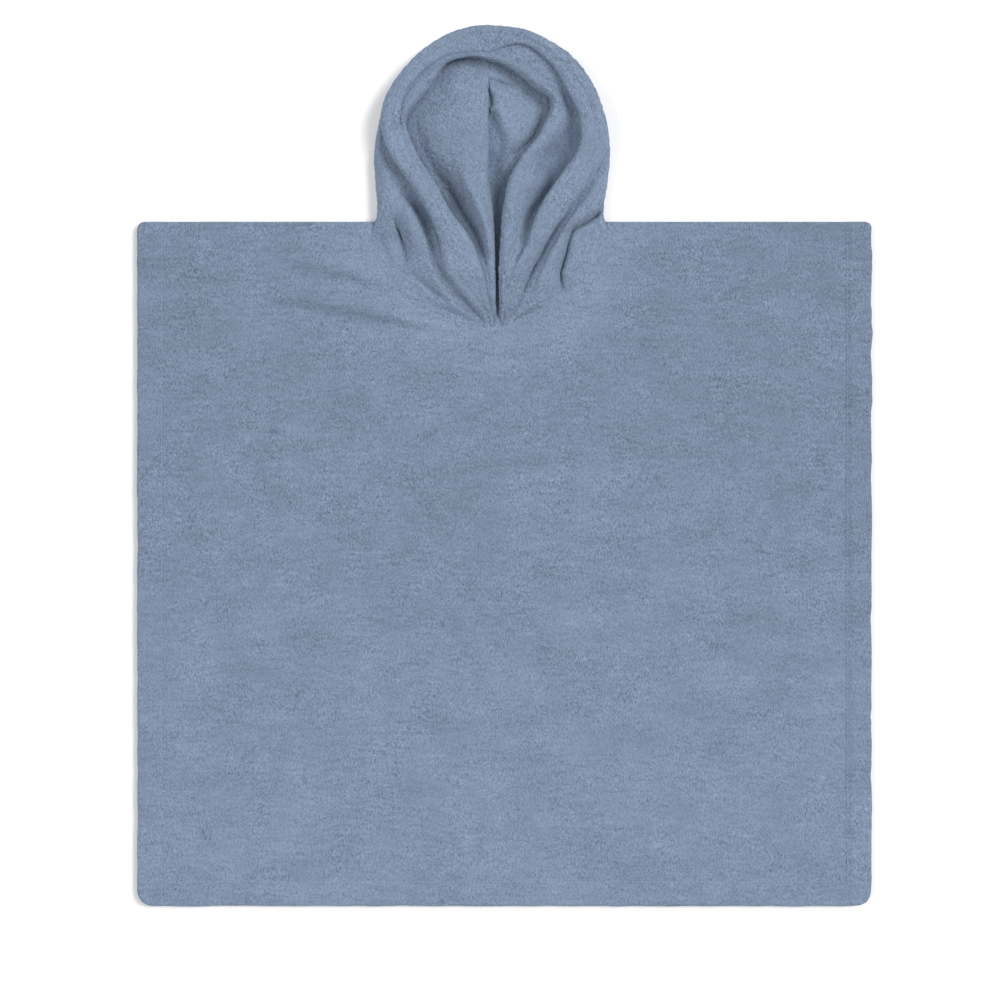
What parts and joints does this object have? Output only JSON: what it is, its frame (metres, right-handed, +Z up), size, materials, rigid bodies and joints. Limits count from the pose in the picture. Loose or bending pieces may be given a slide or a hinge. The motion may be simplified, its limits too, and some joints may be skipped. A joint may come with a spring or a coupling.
{
  "type": "hooded bath poncho",
  "caption": "Square terry bath poncho laid flat, its hood opened upwards with rolled and hemmed folds round the face.",
  "frame": {"origin": "middle of the outline on the surface the poncho lies on, under its back panel", "axes": "+X to the wearer's left as seen from the front, +Y from the bottom hem towards the hood, +Z up through the cloth"},
  "size_m": [0.6, 0.7179, 0.029],
  "materials": {
    "terry": "matt dusty blue cotton terry with short loops"
  },
  "bodies": {
    "root": {"back_panel": "terry", "front_panel": "terry", "hood_left": "terry", "hood_right": "terry"}
  },
  "joints": []
}
